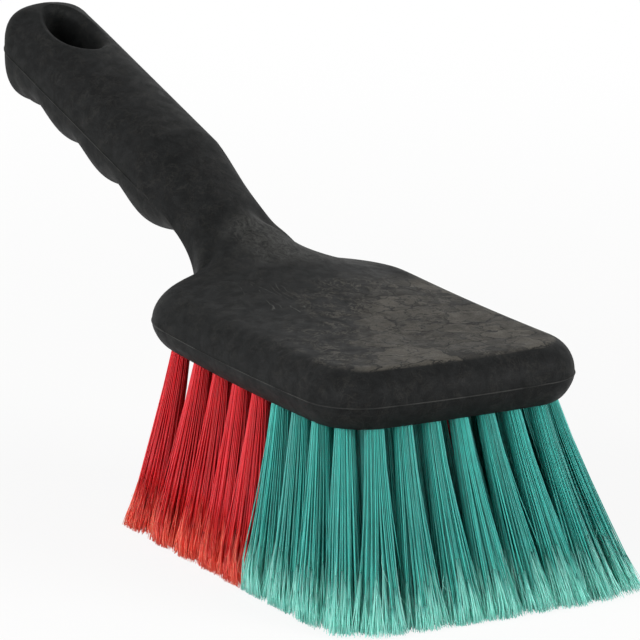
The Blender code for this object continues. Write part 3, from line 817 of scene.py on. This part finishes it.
class BrushBristleSettings(bpy.types.PropertyGroup):
    """Sizes and colours of the bristles."""

    diameter: Length(name="Filament diameter", description="Thickness of one filament", default=0.00036)
    tip_radius: Length(name="Tuft tip radius", description="How wide a tuft opens", default=0.0053)
    flag_length: Length(name="Flagged length", description="How far up the tips are split", default=0.012)
    red: Colour(name="Red", description="Colour of the red filaments", default=linear("#c3151d"))
    red_tip: Colour(name="Red tips", description="Colour of the split red tips", default=linear("#fb4030"))
    green: Colour(name="Green", description="Colour of the green filaments", default=linear("#288f85"))
    green_tip: Colour(name="Green tips", description="Colour of the split tips", default=linear("#84f2dd"))
    seed: IntProperty(name="Seed", description="Settles how the filaments lie", default=7)


class BrushStageSettings(bpy.types.PropertyGroup):
    """Camera and floor."""

    azimuth: Angle(name="Azimuth", description="Camera's turn round the brush", default=math.radians(61.42))
    elevation: Angle(name="Elevation", description="Camera's height above level", default=math.radians(14.68))
    distance: Length(name="Distance", description="Camera's distance", default=1.9092)
    lens: FloatProperty(name="Lens", description="Focal length in millimetres", default=410.4)
    floor: Colour(name="Floor", description="Colour of the floor", default=linear("#f4f4f2"))


class SCRUBBRUSH_OT_body(bpy.types.Operator):
    """Make the grip, neck and block as one moulding with its holes"""

    bl_idname = "scrubbrush.body"
    bl_label = "Moulded Body"

    def execute(self, context):
        settings = context.scene.brush_body
        builder = bmesh.new()
        sections = [rib_section(*rib, settings.fineness, settings.lip) for rib in outline(settings.fineness)]
        loft(builder, sections, False)
        for vert in builder.verts:
            vert.co.z = min(vert.co.z + neck_fill(vert.co), CAD_HIGH.z)
            if abs(vert.co.y) < MERGE:
                vert.co.y = 0
        bmesh.ops.remove_doubles(builder, verts=builder.verts, dist=MERGE / 10)
        mesh = mesh_from(builder, "moulded_body")
        body = new_object(mesh, [black_moulded_polypropylene(settings)])
        mirror = body.modifiers.new("both halves", "MIRROR")
        mirror.use_axis = (False, True, False)
        mirror.merge_threshold = MERGE
        blended = body.vertex_groups.new(name="neck blend")
        for vert in mesh.vertices:
            blended.add([vert.index], neck_blend(vert.co), "REPLACE")
        smooth = body.modifiers.new("neck blend", "SMOOTH")
        smooth.vertex_group = blended.name
        smooth.iterations = SMOOTHING_PASSES * settings.fineness
        cutters = (hanging_hole_cutter(), tuft_hole_cutter())
        for cutter in cutters:
            cut = body.modifiers.new(cutter.name, "BOOLEAN")
            cut.operation = "DIFFERENCE"
            cut.solver = "EXACT"
            cut.object = cutter
        apply_modifiers(body)
        for cutter in cutters:
            bpy.data.objects.remove(cutter)
        if not body.data.polygons:
            raise RuntimeError("The holes could not be cut in the body")
        flash = body.data.attributes.new("flash", "FLOAT", "POINT")
        flash.data.foreach_set("value", [on_flash(vert.co, settings.lip) for vert in body.data.vertices])
        body.data.shade_smooth()
        body.data.set_sharp_from_angle(angle=SHARP_ANGLE)
        finish_piece(body, [BODY_NODE])
        return {"FINISHED"}


def rounded_rim(radius):
    """How far the levels of a rounded rim lie below its face, and how far it flares out at them."""
    turns = [HOLE_RIM_TURN * step / HOLE_RIM_STEPS for step in range(HOLE_RIM_STEPS + 1)]
    return [(radius * (1 - math.sin(turn)), radius * (1 - math.cos(turn))) for turn in turns]


def hanging_hole_cutter():
    """Oval bore with a rounded rim, which follows the grip's rounded top and underside."""
    levels = [(-GRIP_UNDER_DROP - OVERRUN, OVERRUN / 4)]
    levels += [(depth - GRIP_UNDER_DROP, flare) for depth, flare in reversed(rounded_rim(HOLE_UNDER_RIM))]
    levels += [(GRIP_TOP_RISE - depth, flare) for depth, flare in rounded_rim(HOLE_RIM)]
    levels += [(GRIP_TOP_RISE + OVERRUN, OVERRUN / 2)]
    rings = []
    for height, flare in levels:
        ring = []
        for side in range(HOLE_SIDES):
            angle = 2 * math.pi * side / HOLE_SIDES
            x = (HOLE_LENGTH / 2 + flare) * math.cos(angle)
            y = (HOLE_WIDTH / 2 + flare) * math.sin(angle)
            drop = grip_top_drop(y) if height > 0 else -grip_top_drop(y)
            ring.append(Vector((x, y, height - drop)))
        rings.append(ring)
    builder = bmesh.new()
    made = loft(builder, rings, True)
    builder.faces.new(made[0])
    builder.faces.new(made[-1])
    cutter = new_object(mesh_from(builder, "hanging_hole_cutter"))
    centre_x = END_X + HOLE_FROM_END
    cutter.location = (centre_x, 0, grip_axis_z(centre_x))
    cutter.rotation_euler = (0, GRIP_TILT, 0)
    return cutter


def tuft_root(name):
    """Middle of a packed tuft's root, and of its cut tips on the floor plane."""
    points = np.array([vert.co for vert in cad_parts[name].data.vertices])
    root = points[points[:, 2] > BRISTLE_LENGTH].mean(axis=0)
    tip = points[points[:, 2] < MERGE].mean(axis=0)
    return root[:2], tip[:2]


def tuft_hole_cutter():
    """One cutter for all the blind holes in the underside."""
    builder = bmesh.new()
    radius = TUFT_HOLE_DIAMETER / 2
    depth = TUFT_HOLE_DEPTH + OVERRUN
    bore = {"cap_ends": True, "segments": TUFT_HOLE_SIDES, "radius1": radius, "radius2": radius}
    middle_z = BRISTLE_LENGTH + TUFT_HOLE_DEPTH - depth / 2
    for name in TUFT_NODES:
        x, y = tuft_root(name)[0]
        bmesh.ops.create_cone(builder, depth=depth, matrix=Matrix.Translation((x, y, middle_z)), **bore)
    return new_object(mesh_from(builder, "tuft_hole_cutter"))


def tube_faces(strand_count, ring_count, sides, first):
    """Faces of closed strands whose points are numbered strand by strand and ring by ring."""
    side = np.arange(sides)
    after = (side + 1) % sides
    faces = []
    for low in range(0, (ring_count - 1) * sides, sides):
        high = low + sides
        faces.append(np.stack([low + side, low + after, high + after, high + side], axis=1))
    starts = first + np.arange(strand_count)[:, None] * ring_count * sides
    quads = (starts[:, None] + np.concatenate(faces)).reshape(-1, 4)
    bottom = starts + side[::-1]
    top = starts + (ring_count - 1) * sides + side
    return quads.tolist() + bottom.tolist() + top.tolist()


def tube_points(paths, radii, sides, turns):
    """Points round paths: strands x rings x 3 places, one radius a ring, one turn a strand."""
    angle = turns[:, None] + 2 * np.pi * np.arange(sides) / sides
    circle = np.stack([np.cos(angle), np.sin(angle), np.zeros_like(angle)], axis=-1)
    return (paths[:, :, None, :] + radii[None, :, None, None] * circle[:, None]).reshape(-1, 3)


def packed_disc(diameter, random):
    """Places of filaments in rings round a tuft's middle, as shares of the outer ring's radius."""
    outer = TUFT_DIAMETER / 2 - diameter / 2
    places = [np.zeros((1, 2))]
    jitter = diameter / outer * JITTER_SHARE
    radius = outer
    while radius > diameter / 2:
        count = int(2 * math.pi * radius / diameter)
        angle = (np.arange(count) + random.uniform()) * 2 * math.pi / count
        places.append(np.stack([np.cos(angle), np.sin(angle)], axis=1) * radius / outer)
        radius -= diameter * RING_PITCH_SHARE
    disc = np.concatenate(places)
    return disc + random.uniform(-jitter, jitter, disc.shape)


def kept_inside(places, margin):
    """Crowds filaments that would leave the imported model's box against its inner side."""
    for axis, limit in enumerate((CAD_HIGH.x, CAD_HIGH.y)):
        start = limit - BOX_SOFTNESS - margin
        past = (np.abs(places[..., axis]) - start).clip(0)
        eased = BOX_SOFTNESS * (1 - np.exp(-past / BOX_SOFTNESS))
        places[..., axis] -= np.sign(places[..., axis]) * (past - eased)
    return places


def tuft_mesh(name, settings, seed):
    """One tuft: filaments that leave the hole side by side, open out to the tips, and split there."""
    random = np.random.default_rng(seed)
    root, tip = tuft_root(name)
    disc = packed_disc(settings.diameter, random)
    count = len(disc)
    root_radius = TUFT_DIAMETER / 2 - settings.diameter / 2
    tip_radius = settings.tip_radius * random.uniform(*TIP_RADIUS_SHARES)
    # Neighbours press a tuft flat across the row, and it fills the row
    in_side_row = abs(root[1]) > SIDE_ROW_Y
    fill, opening = (SIDE_ROW_FILL, SIDE_ROW_OPENING) if in_side_row else (ROW_FILL, ROW_OPENING)
    lean = random.normal(0, TUFT_LEAN, 2)
    clumps = random.uniform(-1, 1, (CLUMP_COUNT, 2))
    nearest = ((disc[:, None] - clumps[None]) ** 2).sum(axis=2).argmin(axis=1)
    pull = (clumps[nearest] - disc) * random.uniform(*CLUMP_PULL, (count, 1))
    stray = random.normal(0, 1, (count, 2))
    stray *= np.where(random.uniform(0, 1, (count, 1)) < FAR_STRAY_SHARE, FAR_STRAY, STRAY)

    def place(fall, rows=slice(None)):
        """Where filaments are at a share of the way from the block down to the tips."""
        opened = mix(root_radius, tip_radius * np.array(fill), fall**opening)
        middle = root + (tip + lean - root) * fall**TUFT_BOW
        return middle + (disc[rows] + pull[rows] * fall**2) * opened + stray[rows] * fall**2

    ends = np.abs(random.normal(0, SHAFT_CUT[0], count)).clip(0, SHAFT_CUT[1])
    split_at = settings.flag_length * random.uniform(*SPLIT_SHARES, count)
    rings = len(SHAFT_RADII)
    shafts = np.zeros((count, rings, 3))
    for ring, height in enumerate(SHAFT_HEIGHTS):
        shafts[:, ring, :2] = place(max(0.0, 1 - height / BRISTLE_LENGTH))
        shafts[:, ring, 2] = height
    shafts[:, -1, :2] = place((1 - split_at / BRISTLE_LENGTH)[:, None])
    shafts[:, -1, 2] = split_at
    turns = random.uniform(0, 2 * math.pi, count)

    owner = np.repeat(np.arange(count), FIBRE_COUNT)
    fibre_turns = np.tile(np.arange(FIBRE_COUNT) * 2 * math.pi / FIBRE_COUNT, count) + turns[owner]
    spread = np.stack([np.cos(fibre_turns), np.sin(fibre_turns)], axis=1)
    spread *= random.uniform(*FIBRE_SPREAD, (len(owner), 1))
    fibre_ends = ends[owner] + np.abs(random.normal(0, FIBRE_CUT[0], len(owner)))
    fibre_ends = fibre_ends.clip(0, FIBRE_CUT[1])
    fibres = np.zeros((len(owner), len(FIBRE_STEPS), 3))
    for ring, share in enumerate(FIBRE_STEPS):
        height = mix(split_at[owner] + FIBRE_OVERLAP, fibre_ends, share)
        fall = (1 - height / BRISTLE_LENGTH)[:, None].clip(0, 1)
        fibres[:, ring, :2] = place(fall, owner) + spread * (share**FIBRE_BEND + FIBRE_START)
        fibres[:, ring, 2] = height

    # A few fibres on the outside curl across the tips
    picked = random.choice(np.flatnonzero((disc**2).sum(axis=1) > HAIR_ROOT_SHARE), HAIR_COUNT)
    along = np.linspace(0, 1, HAIR_RINGS)
    each = (HAIR_COUNT, 1)
    height = (split_at[picked] * random.uniform(*HAIR_HEIGHT_SHARES, HAIR_COUNT))[:, None]
    height = height * (1 - along * random.uniform(*HAIR_FALL_SHARES, each))
    turn = random.uniform(0, 2 * math.pi, each) + along * random.uniform(-HAIR_TURN, HAIR_TURN, each)
    reach = random.uniform(*HAIR_REACH, each) * along
    hairs = np.stack([reach * np.cos(turn), reach * np.sin(turn), height], axis=-1)
    for ring in range(HAIR_RINGS):
        hairs[:, ring, :2] += place(1 - height[:, ring, None] / BRISTLE_LENGTH, picked)

    shades = random.uniform(0, 1, count)
    paleness = random.uniform(*FIBRE_PALENESS, count)
    points, faces, shade, flag = [], [], [], []
    first = 0
    for paths, radii, sides, turned, shaded, flags, pale in (
        (shafts, SHAFT_RADII, SHAFT_SIDES, turns, shades, SHAFT_FLAGS, np.ones(count)),
        (fibres, FIBRE_RADII, FIBRE_SIDES, fibre_turns, shades[owner], FIBRE_FLAGS, paleness[owner]),
        (hairs, HAIR_RADII, FIBRE_SIDES, turn[:, 0], np.ones(HAIR_COUNT), HAIR_FLAGS, np.ones(HAIR_COUNT)),
    ):
        radii = np.array(radii) * (settings.diameter / 2)
        points.append(tube_points(kept_inside(paths, settings.diameter), radii, sides, turned))
        faces += tube_faces(len(paths), len(radii), sides, first)
        first += len(points[-1])
        shade.append(np.repeat(shaded, len(radii) * sides))
        flag.append((pale[:, None] * np.repeat(flags, sides)).ravel())
    mesh = bpy.data.meshes.new(name.replace("tuft", "bristles"))
    mesh.from_pydata(np.concatenate(points).tolist(), [], faces)
    for title, values in (("shade", shade), ("flag", flag)):
        layer = mesh.attributes.new(title, "FLOAT", "POINT")
        layer.data.foreach_set("value", np.concatenate(values).astype(np.float32))
    mesh.shade_smooth()
    return mesh


class SCRUBBRUSH_OT_tufts(bpy.types.Operator):
    """Make the red and green bristle tufts out of single filaments"""

    bl_idname = "scrubbrush.tufts"
    bl_label = "Bristle Tufts"

    def execute(self, context):
        settings = context.scene.brush_bristles
        red = drawn_polyester("red drawn polyester", settings.red, settings.red_tip, RED_UNEVENNESS)
        green = drawn_polyester("green drawn polyester", settings.green, settings.green_tip, GREEN_UNEVENNESS)
        if not TUFT_NODES:
            raise RuntimeError("The packed model has no tufts")
        for index, name in enumerate(TUFT_NODES):
            is_red = name.startswith("red")
            mesh = tuft_mesh(name, settings, settings.seed * SEED_STEP + index)
            tuft = new_object(mesh, [red if is_red else green])
            finish_piece(tuft, [name])
        return {"FINISHED"}


class SCRUBBRUSH_OT_staples(bpy.types.Operator):
    """Make the flat wire staples that pin the folded tufts in their holes"""

    bl_idname = "scrubbrush.staples"
    bl_label = "Tuft Staples"

    def execute(self, context):
        builder = bmesh.new()
        height = BRISTLE_LENGTH + TUFT_HOLE_DEPTH - STAPLE_SIZE[2]
        for name in TUFT_NODES:
            x, y = tuft_root(name)[0]
            placed = Matrix.Translation((x, y, height)) @ Matrix.Diagonal((*STAPLE_SIZE, 1))
            bmesh.ops.create_cube(builder, size=1, matrix=placed)
        bmesh.ops.bevel(builder, geom=builder.edges, offset=STAPLE_SIZE[0] / 5, segments=2, affect="EDGES")
        staples = new_object(mesh_from(builder, "tuft_staples"), [flat_steel_wire()])
        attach(staples, ROOT)
        return {"FINISHED"}


def looking_at(target, data, azimuth, elevation, distance):
    """An object that looks at a place from a direction and a distance."""
    level = math.cos(elevation)
    back = Vector((math.sin(azimuth) * level, -math.cos(azimuth) * level, math.sin(elevation)))
    thing = new_object(data)
    thing.location = target + back * distance
    thing.rotation_euler = (-back).to_track_quat("-Z", "Y").to_euler()
    return thing


def seen_directly(add):
    """1 for rays that show the background: straight from the camera, mirrored or let through."""
    path = add("LightPath").node.outputs
    seen = add("Math", (path["Is Camera Ray"], path["Is Glossy Ray"]), operation="MAXIMUM")
    return add("Math", (seen, path["Is Transmission Ray"]), operation="MAXIMUM")


def pale_floor(settings):
    """Matt white paper sweep: near white to the camera, with the brush's shadow kept."""
    material, add, shader = new_material("white paper sweep")
    set_inputs(shader, {"Base Color": (*settings.floor, 1), "Roughness": 0.9})
    glow = add("Emission", {"Color": WHITE, "Strength": 1.0})
    away = add("VectorMath", (add("TexCoord", output="Object"),), "Value", operation="LENGTH")
    share = add("MapRange", (away, *FLOOR_GLOW), **EASED)
    share = add("Math", (seen_directly(add), share), operation="MULTIPLY")
    both = add("MixShader", (share, shader.outputs[0], glow))
    set_inputs(material.node_tree.nodes["Material Output"], {"Surface": both})
    return material


class SCRUBBRUSH_OT_stage(bpy.types.Operator):
    """Make the floor, the lamps and the camera"""

    bl_idname = "scrubbrush.stage"
    bl_label = "Studio"

    def execute(self, context):
        settings = context.scene.brush_stage
        scene = context.scene
        scene.view_settings.view_transform = "Standard"
        camera = bpy.data.cameras.new("photo_camera")
        camera.lens = settings.lens
        view = (settings.azimuth, settings.elevation, settings.distance)
        scene.camera = looking_at(CAMERA_TARGET, camera, *view)
        bpy.ops.mesh.primitive_circle_add(
            vertices=96, radius=FLOOR_RADIUS, fill_type="NGON", location=(0, 0, -FLOOR_DROP)
        )
        floor = context.object
        floor.name = "floor"
        floor.data.materials.append(pale_floor(settings))
        for name, azimuth, elevation, distance, size, power in STUDIO_LAMPS:
            lamp = bpy.data.lights.new(name, "AREA")
            lamp.shape = "SQUARE"
            lamp.size = size
            lamp.energy = power
            looking_at(LAMP_TARGET, lamp, math.radians(azimuth), math.radians(elevation), distance)
        world = bpy.data.worlds.new("studio")
        scene.world = world
        world.use_nodes = True
        tree = world.node_tree
        add = partial(add_node, tree)
        dim = tree.nodes["Background"]
        set_inputs(dim, {"Color": WHITE, "Strength": WORLD_STRENGTH})
        bright = add("Background", {"Color": WHITE, "Strength": 1.0})
        both = add("MixShader", (seen_directly(add), dim.outputs[0], bright))
        set_inputs(tree.nodes["World Output"], {"Surface": both})
        return {"FINISHED"}


PIECES = (
    ("brush_body", ("scrubbrush.body",)),
    ("brush_bristles", ("scrubbrush.tufts", "scrubbrush.staples")),
    ("brush_stage", ("scrubbrush.stage",)),
)


class SCRUBBRUSH_PT_panel(bpy.types.Panel):
    """Lists the brush's settings and pieces"""

    bl_label = "Scrub Brush"
    bl_idname = "SCRUBBRUSH_PT_panel"
    bl_space_type = "VIEW_3D"
    bl_region_type = "UI"
    bl_category = "Scrub Brush"

    def draw(self, context):
        for group, operators in PIECES:
            box = self.layout.box()
            settings = getattr(context.scene, group)
            for name in settings.bl_rna.properties.keys():
                if name not in ("rna_type", "name"):
                    box.prop(settings, name)
            for operator in operators:
                box.operator(operator)


CLASSES = (
    BrushBodySettings,
    BrushBristleSettings,
    BrushStageSettings,
    SCRUBBRUSH_OT_body,
    SCRUBBRUSH_OT_tufts,
    SCRUBBRUSH_OT_staples,
    SCRUBBRUSH_OT_stage,
    SCRUBBRUSH_PT_panel,
)


def register():
    for cls in CLASSES:
        bpy.utils.register_class(cls)
    bpy.types.Scene.brush_body = PointerProperty(type=BrushBodySettings)
    bpy.types.Scene.brush_bristles = PointerProperty(type=BrushBristleSettings)
    bpy.types.Scene.brush_stage = PointerProperty(type=BrushStageSettings)


def unregister():
    del bpy.types.Scene.brush_stage
    del bpy.types.Scene.brush_bristles
    del bpy.types.Scene.brush_body
    for cls in reversed(CLASSES):
        bpy.utils.unregister_class(cls)


def main():
    """Makes every piece."""
    register()
    bpy.ops.scrubbrush.body()
    bpy.ops.scrubbrush.tufts()
    bpy.ops.scrubbrush.staples()
    bpy.ops.scrubbrush.stage()


if __name__ == "__main__":
    main()
